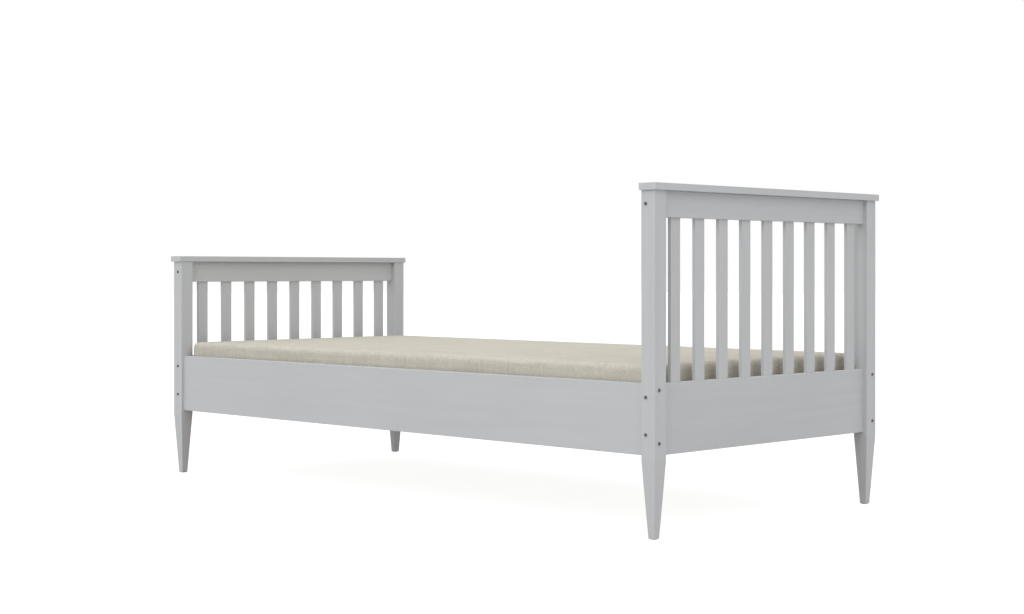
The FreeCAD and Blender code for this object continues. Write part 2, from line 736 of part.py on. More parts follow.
def mattress_section(half_length, half_width, corner, height):
    """Level outline of the mattress: round corners, and sides that are drawn in between them."""
    draw = value("mattress_draw")
    shoulder = corner * (1 - math.sqrt(0.5))
    arcs = []
    for x_sign, y_sign in ((1, 1), (-1, 1), (-1, -1), (1, -1)):
        on_end = FreeCAD.Vector(x_sign * half_length, y_sign * (half_width - corner), height)
        bend = FreeCAD.Vector(x_sign * (half_length - shoulder), y_sign * (half_width - shoulder), height)
        on_side = FreeCAD.Vector(x_sign * (half_length - corner), y_sign * half_width, height)
        arcs.append((on_end, bend, on_side) if x_sign == y_sign else (on_side, bend, on_end))
    edges = []
    for number, inward in enumerate((-Y_AXIS, X_AXIS, Y_AXIS, -X_AXIS)):
        start = arcs[number][2]
        stop = arcs[(number + 1) % len(arcs)][0]
        edges.append(Part.Arc(*arcs[number]).toShape())
        edges.append(Part.Arc(start, (start + stop) * 0.5 + inward * draw, stop).toShape())
    return Part.Wire(edges)


def mattress_form(margin):
    """Closed crowned form of the mattress, a margin inside its outer face."""
    half_length = value(f"{SIDE_SPAN} / 2 - cap_inner_overhang - mattress_end_gap") - margin
    half_width = value(f"{WELL_HALF_WIDTH} - mattress_side_gap") - margin
    bottom = value(f"{BASE_TOP} + mattress_seat_gap") + margin
    crown = value("mattress_crown")
    shoulder = value(f"{BASE_TOP} + mattress_thickness") - crown - margin
    edge = value("mattress_edge_radius") - margin
    corner = value("mattress_corner_radius") - margin
    steps = [step * math.pi / 2 / EDGE_STEPS for step in range(EDGE_STEPS + 1)]
    levels = [(edge * (1 - math.sin(turn)), bottom + edge * (1 - math.cos(turn))) for turn in steps]
    levels += [(edge * (1 - math.cos(turn)), shoulder - edge * (1 - math.sin(turn))) for turn in steps]
    levels += [(edge + share * (half_width - edge), shoulder + rise * crown) for share, rise in CROWN_STEPS]
    sections = [mattress_section(half_length - inset, half_width - inset, corner, height)
                for inset, height in levels]
    return Part.makeLoft(sections, True, True)


def make_shape(label, shape):
    """Piece whose shape is set as it is."""
    feature = DOC.addObject("Part::Feature", label)
    feature.Label = label
    feature.Shape = shape
    feature.Placement = FreeCAD.Placement()
    return feature


def make_mattress():
    """Foam core and the cover round it."""
    cover_thickness = value("cover_thickness")
    cover = mattress_form(0).cut(mattress_form(cover_thickness))
    core = mattress_form(cover_thickness + value("core_clearance"))
    return [make_shape("mattress_cover", cover.Solids[0]), make_shape("mattress_core", core)]


def make_bolt():
    """Bolt with a low round head and a hexagon socket, seated at the origin with its shank along +Z."""
    bolt = Piece("connector_bolt", ("0", "0", "0"))
    head = bolt.sketch("XY", "-bolt_head_height")
    add_circle(head, "bolt_head_diameter")
    top = bolt.pad(head, "bolt_head_height")
    bolt.dress("Chamfer", top, is_below("-bolt_head_height / 2"), "Size", "bolt_head_chamfer")
    shank = bolt.sketch("XY")
    add_circle(shank, "bolt_diameter")
    bolt.pad(shank, f"post_side + {BOLT_REACH}")
    socket = bolt.sketch("XY", "-bolt_head_height")
    add_hexagon(socket, "bolt_socket_width")
    bolt.pocket(socket, "bolt_socket_depth")
    return bolt.body


def make_nut():
    """Barrel nut along Z, with its thread across it along X."""
    nut = Piece("barrel_nut", ("0", "0", "0"))
    barrel = nut.sketch("XY")
    add_circle(barrel, "nut_diameter")
    nut.pad(barrel, "nut_length", symmetric=True)
    nut.drill("YZ", "0", [("0", "0")], "bolt_diameter + thread_clearance", "nut_diameter")
    return nut.body


def make_dowel(label, length):
    """Chamfered dowel along Z, about its middle."""
    dowel = Piece(label, ("0", "0", "0"))
    rod = dowel.sketch("XY")
    add_circle(rod, "dowel_diameter")
    stick = dowel.pad(rod, length, symmetric=True)
    dowel.dress("Chamfer", stick, is_level, "Size", "dowel_chamfer")
    return dowel.body


def make_screw():
    """Countersunk screw with a square recess: its head is level with the origin, its shank along +Z."""
    screw = Piece("wood_screw", ("0", "0", "0"))
    head = ("0", "0", "0")
    tip = ("0", "0", "(screw_length - screw_tip_length)")
    screw.cone("Additive", head, Z_AXIS, "screw_head_diameter", "screw_diameter", SCREW_HEAD_HEIGHT)
    shank = screw.sketch("XY", SCREW_HEAD_HEIGHT)
    add_circle(shank, "screw_diameter")
    screw.pad(shank, f"{tip[2]} - {SCREW_HEAD_HEIGHT}")
    screw.cone("Additive", tip, Z_AXIS, "screw_diameter", "screw_tip_diameter", "screw_tip_length")
    recess = screw.sketch("XY")
    add_rectangle(recess, "screw_recess_width", "screw_recess_width")
    screw.pocket(recess, "screw_recess_depth")
    return screw.body


def make_glide():
    """Round glide that stands on the floor, with a pin up into the leg."""
    glide = Piece("glide", ("0", "0", "0"))
    disc = glide.sketch("XY")
    add_circle(disc, "glide_diameter")
    foot = glide.pad(disc, "glide_thickness")
    glide.dress("Fillet", foot, is_below("glide_thickness / 2"), "Radius", "glide_edge_radius")
    pin = glide.sketch("XY", "glide_thickness")
    add_circle(pin, "glide_pin_diameter")
    glide.pad(pin, "glide_pin_length")
    return glide.body


def place_at(point, rotation):
    """Placement at a point of the bed, given by expressions."""
    return FreeCAD.Placement(FreeCAD.Vector(*[value(place) for place in point]), rotation)


def facing(direction):
    """Turn that points +Z along a direction."""
    return FreeCAD.Rotation(Z_AXIS, direction)


def scatter(label, pattern, places):
    """Node of equal fasteners: a copy of the pattern at each place, each a solid of its own."""
    copies = []
    for place in places:
        copy = pattern.Shape.Solids[0].copy()
        copy.Placement = place.multiply(copy.Placement)
        copies.append(copy)
    return make_shape(label, Part.makeCompound(copies))


def end_joints():
    """Each end rail with each side that it is joined to a post at."""
    return [(rail, side) for rails in (BOTTOM_RAILS, TOP_RAILS) for rail in rails.values() for side in SIDES]


def make_fasteners():
    """Bolts, nuts, dowels, screws and glides, in one node for each kind and use."""
    bolt = make_bolt()
    nut = make_nut()
    dowel = make_dowel("rail_dowel", "dowel_length")
    cap_dowel = make_dowel("cap_dowel", "cap_dowel_length")
    screw = make_screw()
    glide = make_glide()
    DOC.recompute()
    end_bolts = []
    end_nuts = []
    end_dowels = []
    across_end = FreeCAD.Rotation(Y_AXIS, Z_AXIS, X_AXIS, "ZXY")
    for rail, side in end_joints():
        inward = facing(Y_AXIS * -side.sign)
        for height in rail.bolt_heights:
            end_bolts.append(place_at((rail.end.bolt_x, side.across("0"), height), inward))
            end_nuts.append(place_at((rail.end.bolt_x, side.nut_y, height), across_end))
        for height in rail.dowel_heights:
            end_dowels.append(place_at((rail.middle_x, side.post_inner_y, height), inward))
    side_bolts = []
    side_nuts = []
    side_dowels = []
    across_side = FreeCAD.Rotation(X_AXIS, -Z_AXIS, Y_AXIS, "ZXY")
    for end in ENDS:
        for side in SIDES:
            inward = facing(X_AXIS * -end.sign)
            for height in SIDE_BOLT_HEIGHTS:
                side_bolts.append(place_at((end.across("0"), side.bolt_y, height), inward))
                side_nuts.append(place_at((side_nut_x(end), side.bolt_y, height), across_side))
            for height in SIDE_DOWEL_HEIGHTS:
                side_dowels.append(place_at((end.post_inner_x, side.rail_y, height), inward))
    cap_dowels = []
    glides = []
    upright = FreeCAD.Rotation()
    for end in ENDS:
        middle = f"{end.post_top} + cap_dowel_in_cap - cap_dowel_length / 2"
        on_rail, on_posts = cap_dowel_places(end)
        cap_dowels += [place_at((*place, middle), upright) for place in on_rail + on_posts]
        glides += [place_at((*place, "0"), upright) for place in on_posts]
    ledger_screws = []
    slat_screws = []
    for side in SIDES:
        outward = facing(Y_AXIS * side.sign)
        for number in range(int(value("base_slat_count"))):
            slat_screws.append(place_at((base_slat_x(number), side.ledger_y, BASE_TOP), facing(-Z_AXIS)))
        for number in range(int(value("base_slat_count")) - 1):
            between = f"{FIRST_LEDGER_SCREW} + {number} * {BASE_PITCH}"
            ledger_screws.append(place_at((between, side.ledger_inner_y, LEDGER_MIDDLE), outward))
    return [
        scatter("end_frame_bolts", bolt, end_bolts),
        scatter("end_frame_barrel_nuts", nut, end_nuts),
        scatter("end_frame_dowels", dowel, end_dowels),
        scatter("side_rail_bolts", bolt, side_bolts),
        scatter("side_rail_barrel_nuts", nut, side_nuts),
        scatter("side_rail_dowels", dowel, side_dowels),
        scatter("cap_dowels", cap_dowel, cap_dowels),
        scatter("ledger_screws", screw, ledger_screws),
        scatter("base_slat_screws", screw, slat_screws),
        scatter("leg_glides", glide, glides),
    ]


def make_bed():
    """Every piece of the bed, in the order that it is put together."""
    pieces = [make_post(end, side) for end in ENDS for side in SIDES]
    for end in ENDS:
        pieces.append(make_end_rail(BOTTOM_RAILS[end]))
        pieces.append(make_end_rail(TOP_RAILS[end]))
        pieces += [make_slat(end, number) for number in range(int(value("slat_count")))]
        pieces.append(make_cap(end))
    for side in SIDES:
        pieces.append(make_side_rail(side))
        pieces.append(make_ledger(side))
    pieces += [make_base_slat(number) for number in range(int(value("base_slat_count")))]
    pieces += make_fasteners()
    pieces += make_mattress()
    DOC.recompute()
    return pieces


def check(pieces):
    """Stops at a feature that failed, a cut that found no wood or a piece that isn't whole."""
    for item in DOC.Objects:
        if {"Invalid", "Error"} & set(item.State):
            raise RuntimeError(f"{item.Label} failed: {item.State}")
        if item.TypeId == "PartDesign::Pocket" and item.Shape.Volume >= item.BaseFeature.Shape.Volume:
            raise RuntimeError(f"{item.Label} cuts nothing")
    for piece in pieces:
        if piece.Shape.isNull() or not piece.Shape.isValid() or not piece.Shape.Solids:
            raise RuntimeError(f"{piece.Label} has no valid solid")


def main():
    """Builds, checks and writes the pieces."""
    pieces = make_bed()
    check(pieces)
    os.makedirs("parts", exist_ok=True)
    for piece in pieces:
        piece.Shape.exportStep(os.path.join("parts", f"{piece.Label}.step"))
    print(f"{len(pieces)} pieces, {sum(len(piece.Shape.Solids) for piece in pieces)} solids")


main()
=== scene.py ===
"""Looks of a single wooden bed: grey paint on slatted ends and deep rails, and a mattress in a woven cover.

Lengths are in metres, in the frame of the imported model: +X towards the head end, +Y to the left, +Z up.
"""

from __future__ import annotations

import logging
import math
from dataclasses import dataclass, field
from enum import Enum
from itertools import product
from typing import ClassVar

import bmesh
import bpy
import numpy as np
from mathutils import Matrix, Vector
from mathutils.bvhtree import BVHTree


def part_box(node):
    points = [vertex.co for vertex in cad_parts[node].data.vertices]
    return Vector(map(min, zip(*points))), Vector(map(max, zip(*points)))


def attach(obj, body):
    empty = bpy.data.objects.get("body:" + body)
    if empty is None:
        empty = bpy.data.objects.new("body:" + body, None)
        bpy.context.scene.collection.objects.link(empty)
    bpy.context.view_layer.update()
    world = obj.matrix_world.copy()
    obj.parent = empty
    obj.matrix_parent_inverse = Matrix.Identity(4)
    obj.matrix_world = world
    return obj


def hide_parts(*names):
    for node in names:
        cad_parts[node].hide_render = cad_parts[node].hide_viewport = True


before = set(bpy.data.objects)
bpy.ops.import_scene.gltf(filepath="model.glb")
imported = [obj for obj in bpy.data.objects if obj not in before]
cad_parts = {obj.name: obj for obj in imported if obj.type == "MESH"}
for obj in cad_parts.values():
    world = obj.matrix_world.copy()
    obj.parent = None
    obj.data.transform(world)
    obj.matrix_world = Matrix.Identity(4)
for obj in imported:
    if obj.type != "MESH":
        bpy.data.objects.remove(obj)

LOG = logging.getLogger("bed")
IMAGE_WIDTH = 1024
SENSOR_WIDTH = 36.0
QUARTER_TURN = math.pi / 2
# Shortest length that something is divided by
TINY = 1e-9

Colour = tuple[float, float, float]
Point = tuple[float, float, float]
Pair = tuple[float, float]
Pairs = tuple[Pair, ...]
Feed = bpy.types.NodeSocket | float | tuple[float, ...]
Feeds = dict[str | int, Feed]

WHITE: Colour = (1.0, 1.0, 1.0)
COOL: Colour = (0.937, 0.963, 0.985)
WARM: Colour = (1.0, 0.985, 0.96)


def rgba(colour: Colour) -> tuple[float, float, float, float]:
    """Colour with a full alpha."""
    return (*colour, 1.0)


class GrainRun(Enum):
    """Which way the grain of a board runs, as the board's axis in the bed."""

    LENGTHWISE = 0
    CROSSWISE = 1
    UPRIGHT = 2

    def stretch(self, along: float, across: float) -> Point:
        """How many times a metre the grain changes along each of the bed's axes."""
        return tuple(along if axis == self.value else across for axis in range(3))


class Effect(Enum):
    """Surface effects that several materials share, each a node group of that name."""

    GRAIN = "board_grain"
    CLOUD = "slow_variation"
    WEAVE = "woven_threads"


class Bench:
    """Adds nodes to one node tree and joins them."""

    # Places of the colours among a mix node's sockets, several of which have the same name
    MIX_FIRST: ClassVar[int] = 6
    MIX_SECOND: ClassVar[int] = 7
    MIX_RESULT: ClassVar[int] = 2

    def __init__(self, tree: bpy.types.NodeTree) -> None:
        """Keeps the tree to work on."""
        self.tree = tree

    def add(self, kind: str, inputs: Feeds | None = None, **settings: object) -> bpy.types.Node:
        """New node with some of its settings made and some of its inputs fed.

        Args:
            kind: Blender's name for the node's type.
            inputs: what goes into its inputs, by their names or numbers.
            settings: properties of the node and their values.

        Returns:
            The node.
        """
        node = self.tree.nodes.new(kind)
        for name, value in settings.items():
            setattr(node, name, value)
        for name, source in (inputs or {}).items():
            self.feed(node.inputs[name], source)
        return node

    def feed(self, socket: bpy.types.NodeSocket, source: Feed) -> None:
        """Joins an input to an output, or sets it to a plain value.

        Args:
            socket: the input.
            source: an output socket, a number or a tuple.
        """
        if isinstance(source, bpy.types.NodeSocket):
            self.tree.links.new(source, socket)
        else:
            socket.default_value = source

    def math(self, operation: str, *terms: Feed, kind: str = "Math") -> bpy.types.NodeSocket:
        """Result of one sum on numbers, or on vectors where the kind is VectorMath."""
        node = self.add(f"ShaderNode{kind}", dict(enumerate(terms)), operation=operation)
        return node.outputs[0]

    def vector(self, operation: str, first: Feed, second: Feed) -> bpy.types.NodeSocket:
        """Result of one sum on two vectors."""
        return self.math(operation, first, second, kind="VectorMath")

    def split(self, vector: Feed) -> bpy.types.NodeOutputs:
        """The three numbers of a vector, in the order of the axes."""
        return self.add("ShaderNodeSeparateXYZ", {0: vector}).outputs

    def noise(self, place: Feed, scale: Feed, detail: float, roughness: float) -> bpy.types.NodeSocket:
        """Noise in three dimensions, with as many finer layers as its detail, as strong as its roughness."""
        inputs = {"Vector": place, "Scale": scale, "Detail": detail, "Roughness": roughness}
        return self.add("ShaderNodeTexNoise", inputs).outputs["Fac"]

    def span(self, value: Feed, low: float, high: float) -> bpy.types.NodeSocket:
        """Value spread from 0 to 1 between two levels, and held there outside them."""
        inputs = {"Value": value, "From Min": low, "From Max": high}
        return self.add("ShaderNodeMapRange", inputs, clamp=True).outputs["Result"]

    def blend(self, factor: Feed, first: Feed, second: Feed) -> bpy.types.NodeSocket:
        """Colour between two others: the first where the factor is 0 and the second where it is 1."""
        inputs = {0: factor, self.MIX_FIRST: first, self.MIX_SECOND: second}
        return self.add("ShaderNodeMix", inputs, data_type="RGBA").outputs[self.MIX_RESULT]

    def weigh(self, *weighted: tuple[Feed, float]) -> bpy.types.NodeSocket:
        """Sum of values, each times a weight.

        Args:
            weighted: pairs of a value and its weight.

        Returns:
            The socket with the sum.
        """
        total = self.math("MULTIPLY", *weighted[0])
        for value, weight in weighted[1:]:
            total = self.math("MULTIPLY_ADD", value, weight, total)
        return total


Inside = tuple[Bench, bpy.types.NodeOutputs, bpy.types.NodeInputs]


class EffectShelf:
    """Node groups of the shared effects, each made once, when it is first asked for."""

    PORE_STRETCH: ClassVar[Point] = (3.0, 3.0, 3.0)
    SLUB_STRETCH: ClassVar[float] = 0.045
    SLUB_SHARES: ClassVar[Point] = (0.4, 0.3, 0.3)

    def __init__(self) -> None:
        """Starts with no group made."""
        self.groups: dict[Effect, bpy.types.NodeTree] = {}
        self.makers = {
            Effect.GRAIN: self.make_grain,
            Effect.CLOUD: self.make_cloud,
            Effect.WEAVE: self.make_weave,
        }

    def place(self, bench: Bench, effect: Effect, **inputs: Feed) -> bpy.types.NodeOutputs:
        """Puts an effect into a material.

        Args:
            bench: the material's bench.
            effect: which effect.
            inputs: its inputs by name.

        Returns:
            The sockets with the effect's values, by name.
        """
        if effect not in self.groups:
            self.groups[effect] = bpy.data.node_groups.new(effect.value, "ShaderNodeTree")
            self.makers[effect](self.groups[effect])
        return bench.add("ShaderNodeGroup", inputs, node_tree=self.groups[effect]).outputs

    @staticmethod
    def open_group(tree: bpy.types.NodeTree, inputs: dict[str, str], outputs: tuple[str, ...]) -> Inside:
        """Makes a group's sockets and the nodes that stand for them inside it.

        Args:
            tree: the group.
            inputs: the inputs' names, with Vector or Float for each.
            outputs: the outputs' names, all of them numbers.

        Returns:
            The group's bench, its inner input sockets and its inner output sockets.
        """
        for name, kind in inputs.items():
            tree.interface.new_socket(name=name, in_out="INPUT", socket_type=f"NodeSocket{kind}")
        for name in outputs:
            tree.interface.new_socket(name=name, in_out="OUTPUT", socket_type="NodeSocketFloat")
        bench = Bench(tree)
        return bench, bench.add("NodeGroupInput").outputs, bench.add("NodeGroupOutput").inputs

    def make_grain(self, tree: bpy.types.NodeTree) -> None:
        """Long streaks of a board, with short pores among them.

        Args:
            tree: the empty group.
        """
        inputs = {"Place": "Vector", "Stretch": "Vector", "Wander": "Float"}
        bench, given, made = self.open_group(tree, inputs, ("Streak", "Pore", "Height"))
        stretched = bench.vector("MULTIPLY", given["Place"], given["Stretch"])
        drift = bench.noise(given["Place"], scale=2.3, detail=1.0, roughness=0.4)
        bent = bench.vector("ADD", stretched, bench.math("MULTIPLY", drift, given["Wander"]))
        streak = bench.noise(bent, scale=1.0, detail=3.0, roughness=0.55)
        short = bench.vector("MULTIPLY", bent, self.PORE_STRETCH)
        pore = bench.span(bench.noise(short, scale=1.6, detail=2.0, roughness=0.6), low=0.52, high=0.72)
        bench.feed(made["Streak"], bench.span(streak, low=0.3, high=0.7))
        bench.feed(made["Pore"], pore)
        bench.feed(made["Height"], bench.weigh((streak, 0.7), (pore, -0.4)))

    def make_cloud(self, tree: bpy.types.NodeTree) -> None:
        """Slow variation over a surface.

        Args:
            tree: the empty group.
        """
        bench, given, made = self.open_group(tree, {"Place": "Vector", "Scale": "Float"}, ("Value",))
        cloud = bench.noise(given["Place"], given["Scale"], detail=2.0, roughness=0.5)
        bench.feed(made["Value"], bench.span(cloud, low=0.28, high=0.72))

    def make_weave(self, tree: bpy.types.NodeTree) -> None:
        """Plain weave with thick and thin threads, which runs square to the edges on every side of a box.

        Args:
            tree: the empty group.
        """
        inputs = {"Place": "Vector", "Facing": "Vector", "Pitch": "Float", "Slub": "Float"}
        bench, given, made = self.open_group(tree, inputs, ("Slub", "Thread", "Height"))
        slubs = []
        for axis in range(3):
            stretch = tuple(self.SLUB_STRETCH if index == axis else 1.0 for index in range(3))
            along = bench.vector("MULTIPLY", given["Place"], stretch)
            slubs.append(bench.noise(along, given["Slub"], detail=2.0, roughness=0.65))
        slub = bench.weigh(*zip(slubs, self.SLUB_SHARES))
        angle = bench.math("DIVIDE", 2 * math.pi, given["Pitch"])
        turns = [bench.math("MULTIPLY", number, angle) for number in bench.split(given["Place"])]
        waves = [bench.math("SINE", turn) for turn in turns]
        thread: Feed = 0.0
        for axis, facing in enumerate(bench.split(given["Facing"])):
            # A side shows the threads along the two other axes
            crossing = bench.math("MULTIPLY", waves[axis - 2], waves[axis - 1])
            share = bench.math("POWER", bench.math("ABSOLUTE", facing), 2.0)
            thread = bench.math("MULTIPLY_ADD", crossing, share, thread)
        bench.feed(made["Slub"], bench.span(slub, low=0.36, high=0.64))
        bench.feed(made["Thread"], bench.span(thread, low=-1.0, high=1.0))
        bench.feed(made["Height"], bench.weigh((thread, 0.5), (slub, 1.5)))


SHELF = EffectShelf()


@dataclass(frozen=True)
class Finish:
    """What every finish has: a name for its material and the two colours that it varies between."""

    name: str
    colour: Colour
    shade: Colour
    roughness: float

    def start(self, suffix: str = "") -> tuple[bpy.types.Material, Bench, bpy.types.Node]:
        """New material with its shader in place.

        Args:
            suffix: what sets this material's name apart.

        Returns:
            The material, its bench and its Principled shader.
        """
        material = bpy.data.materials.new(self.name + suffix)
        material.use_nodes = True
        bench = Bench(material.node_tree)
        shader = next(node for node in bench.tree.nodes if node.type == "BSDF_PRINCIPLED")
        return material, bench, shader

    def tint(self, bench: Bench, shader: bpy.types.Node, tone: Feed) -> None:
        """Colours a shader: the colour where the tone is 0 and the shade where it is 1."""
        bench.feed(shader.inputs["Base Color"], bench.blend(tone, rgba(self.colour), rgba(self.shade)))

    def vary_roughness(self, bench: Bench, shader: bpy.types.Node, cloud: Feed, spread: float) -> None:
        """Lets the roughness follow a cloud, over a spread about the finish's own."""
        least = self.roughness - spread / 2
        bench.feed(shader.inputs["Roughness"], bench.math("MULTIPLY_ADD", cloud, spread, least))

    @staticmethod
    def bump(bench: Bench, shader: bpy.types.Node, height: Feed, strength: float, depth: float) -> None:
        """Raises a shader's surface by a height, which at 1 is as much as the depth."""
        inputs = {"Strength": strength, "Distance": depth, "Height": height}
        bench.feed(shader.inputs["Normal"], bench.add("ShaderNodeBump", inputs).outputs["Normal"])


@dataclass(frozen=True)
class BoardFinish(Finish):
    """Finish of a board, whose grain shows more or less through it."""

    CLOUD_SCALE: ClassVar[float] = 3.0

    streaks_along: float
    streaks_across: float
    wander: float
    streak_weight: float
    pore_weight: float
    cloud_weight: float
    relief: float

    def material(self, run: GrainRun) -> bpy.types.Material:
        """Material for the boards whose grain runs one way.

        Args:
            run: the way.

        Returns:
            The material.
        """
        material, bench, shader = self.start(f"_{run.name.lower()}")
        place = bench.add("ShaderNodeTexCoord").outputs["Object"]
        stretch = run.stretch(self.streaks_along, self.streaks_across)
        grain = SHELF.place(bench, Effect.GRAIN, Place=place, Wander=self.wander, Stretch=stretch)
        cloud = SHELF.place(bench, Effect.CLOUD, Place=place, Scale=self.CLOUD_SCALE)["Value"]
        tone = bench.weigh(
            (grain["Streak"], self.streak_weight),
            (grain["Pore"], self.pore_weight),
            (cloud, self.cloud_weight),
        )
        self.tint(bench, shader, tone)
        self.vary_roughness(bench, shader, cloud, spread=0.08)
        self.bump(bench, shader, grain["Height"], strength=0.35, depth=self.relief)
        return material


@dataclass(frozen=True)
class SolidFinish(Finish):
    """Finish of metal or moulded plastic, slightly uneven."""

    CLOUD_WEIGHT: ClassVar[float] = 0.65
    SPECK_WEIGHT: ClassVar[float] = 0.35
    SPECKS_PER_CLOUD: ClassVar[float] = 7.0

    metallic: float
    grit: float
    relief: float

    def material(self) -> bpy.types.Material:
        """Material of this finish.

        Returns:
            The material.
        """
        material, bench, shader = self.start()
        place = bench.add("ShaderNodeTexCoord").outputs["Object"]
        cloud = SHELF.place(bench, Effect.CLOUD, Place=place, Scale=self.grit)["Value"]
        fine = self.grit * self.SPECKS_PER_CLOUD
        speck = SHELF.place(bench, Effect.CLOUD, Place=place, Scale=fine)["Value"]
        tone = bench.weigh((cloud, self.CLOUD_WEIGHT), (speck, self.SPECK_WEIGHT))
        self.tint(bench, shader, tone)
        shader.inputs["Metallic"].default_value = self.metallic
        self.vary_roughness(bench, shader, tone, spread=0.16)
        self.bump(bench, shader, speck, strength=0.3, depth=self.relief)
        return material


@dataclass(frozen=True)
class ClothFinish(Finish):
    """Finish of woven cloth with thick and thin threads, flecks and bands along the bed."""

    SLUB_WEIGHT: ClassVar[float] = 0.4
    THREAD_WEIGHT: ClassVar[float] = 0.1
    CLOUD_WEIGHT: ClassVar[float] = 0.16
    BAND_WEIGHT: ClassVar[float] = 0.2
    FLECK_WEIGHT: ClassVar[float] = 0.3
    CLOUD_SCALE: ClassVar[float] = 24.0
    FLECK_SCALE: ClassVar[float] = 130.0
    BAND_STRETCH: ClassVar[Point] = (5.0, 30.0, 30.0)
    SPECULAR: ClassVar[float] = 0.1
    SHEEN_ROUGHNESS: ClassVar[float] = 0.6

    pitch: float
    slubs: float
    relief: float
    sheen: float

    def material(self) -> bpy.types.Material:
        """Material of this finish.

        Returns:
            The material.
        """
        material, bench, shader = self.start()
        place = bench.add("ShaderNodeTexCoord").outputs["Object"]
        facing = bench.add("ShaderNodeTexCoord").outputs["Normal"]
        threads = {"Place": place, "Facing": facing, "Pitch": self.pitch, "Slub": self.slubs}
        weave = SHELF.place(bench, Effect.WEAVE, **threads)
        cloud = SHELF.place(bench, Effect.CLOUD, Place=place, Scale=self.CLOUD_SCALE)["Value"]
        lengthwise = bench.vector("MULTIPLY", place, self.BAND_STRETCH)
        band = SHELF.place(bench, Effect.CLOUD, Place=lengthwise, Scale=1.0)["Value"]
        fleck = SHELF.place(bench, Effect.CLOUD, Place=place, Scale=self.FLECK_SCALE)["Value"]
        tone = bench.weigh(
            (weave["Slub"], self.SLUB_WEIGHT),
            (weave["Thread"], self.THREAD_WEIGHT),
            (cloud, self.CLOUD_WEIGHT),
            (band, self.BAND_WEIGHT),
            (fleck, self.FLECK_WEIGHT),
        )
        self.tint(bench, shader, tone)
        self.vary_roughness(bench, shader, cloud, spread=0.06)
        shader.inputs["Specular IOR Level"].default_value = self.SPECULAR
        shader.inputs["Sheen Weight"].default_value = self.sheen
        shader.inputs["Sheen Roughness"].default_value = self.SHEEN_ROUGHNESS
        self.bump(bench, shader, weave["Height"], strength=0.4, depth=self.relief)
        return material


PAINT = BoardFinish(
    "grey_paint", (0.538, 0.54, 0.544), (0.486, 0.489, 0.492), roughness=0.44,
    streaks_along=1.8, streaks_across=55.0, wander=1.2,
    streak_weight=0.45, pore_weight=0.25, cloud_weight=0.3, relief=0.0004,
)
BARE_WOOD = BoardFinish(
    "planed_wood", (0.66, 0.5, 0.32), (0.47, 0.31, 0.17), roughness=0.62,
    streaks_along=2.2, streaks_across=85.0, wander=2.5,
    streak_weight=0.55, pore_weight=0.25, cloud_weight=0.2, relief=0.0005,
)
BOLT_STEEL = SolidFinish(
    "dark_bolt_steel", (0.21, 0.21, 0.216), (0.13, 0.13, 0.134), roughness=0.5,
    metallic=0.6, grit=260.0, relief=0.0001,
)
NUT_PAINT = SolidFinish(
    "painted_steel", (0.535, 0.538, 0.541), (0.49, 0.493, 0.496), roughness=0.46,
    metallic=0.0, grit=260.0, relief=0.0001,
)
ZINC = SolidFinish(
    "zinc_plate", (0.62, 0.63, 0.64), (0.47, 0.48, 0.5), roughness=0.34,
    metallic=1.0, grit=220.0, relief=0.00008,
)
GLIDE_PLASTIC = SolidFinish(
    "glide_plastic", (0.36, 0.36, 0.36), (0.28, 0.28, 0.28), roughness=0.6,
    metallic=0.0, grit=180.0, relief=0.0001,
)
ZIP_NYLON = SolidFinish(
    "zip_nylon", (0.5, 0.465, 0.385), (0.42, 0.39, 0.32), roughness=0.5,
    metallic=0.0, grit=400.0, relief=0.0001,
)
THREAD = SolidFinish(
    "sewing_thread", (0.6, 0.57, 0.49), (0.5, 0.47, 0.4), roughness=0.8,
    metallic=0.0, grit=900.0, relief=0.0001,
)
ZIP_TAPE = ClothFinish(
    "zip_tape", (0.52, 0.485, 0.405), (0.43, 0.4, 0.33), roughness=0.9,
    pitch=0.0011, slubs=300.0, relief=0.0003, sheen=0.02,
)
COVER_CLOTH = ClothFinish(
    "linen_cover", (0.668, 0.627, 0.544), (0.457, 0.422, 0.351), roughness=0.95,
    pitch=0.0016, slubs=170.0, relief=0.0006, sheen=0.03,
)


def is_named(node: str, name: str) -> bool:
    """Whether a node has that name, or that name with a side or a number after it."""
    rest = node.removeprefix(name)
    return rest == "" or (rest != node and (rest[1:] in ("left", "right") or rest[1:].isdigit()))


def coat(names: tuple[str, ...], material: bpy.types.Material) -> int:
    """Gives a material to the nodes that have one of some names.

    Args:
        names: the names, without a side or a number.
        material: the material.

    Returns:
        How many nodes got it.
    """
    found = [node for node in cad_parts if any(is_named(node, name) for name in names)]
    for node in found:
        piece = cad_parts[node]
        if not piece.material_slots:
            piece.data.materials.append(material)
        for place in piece.material_slots:
            place.material = material
    return len(found)


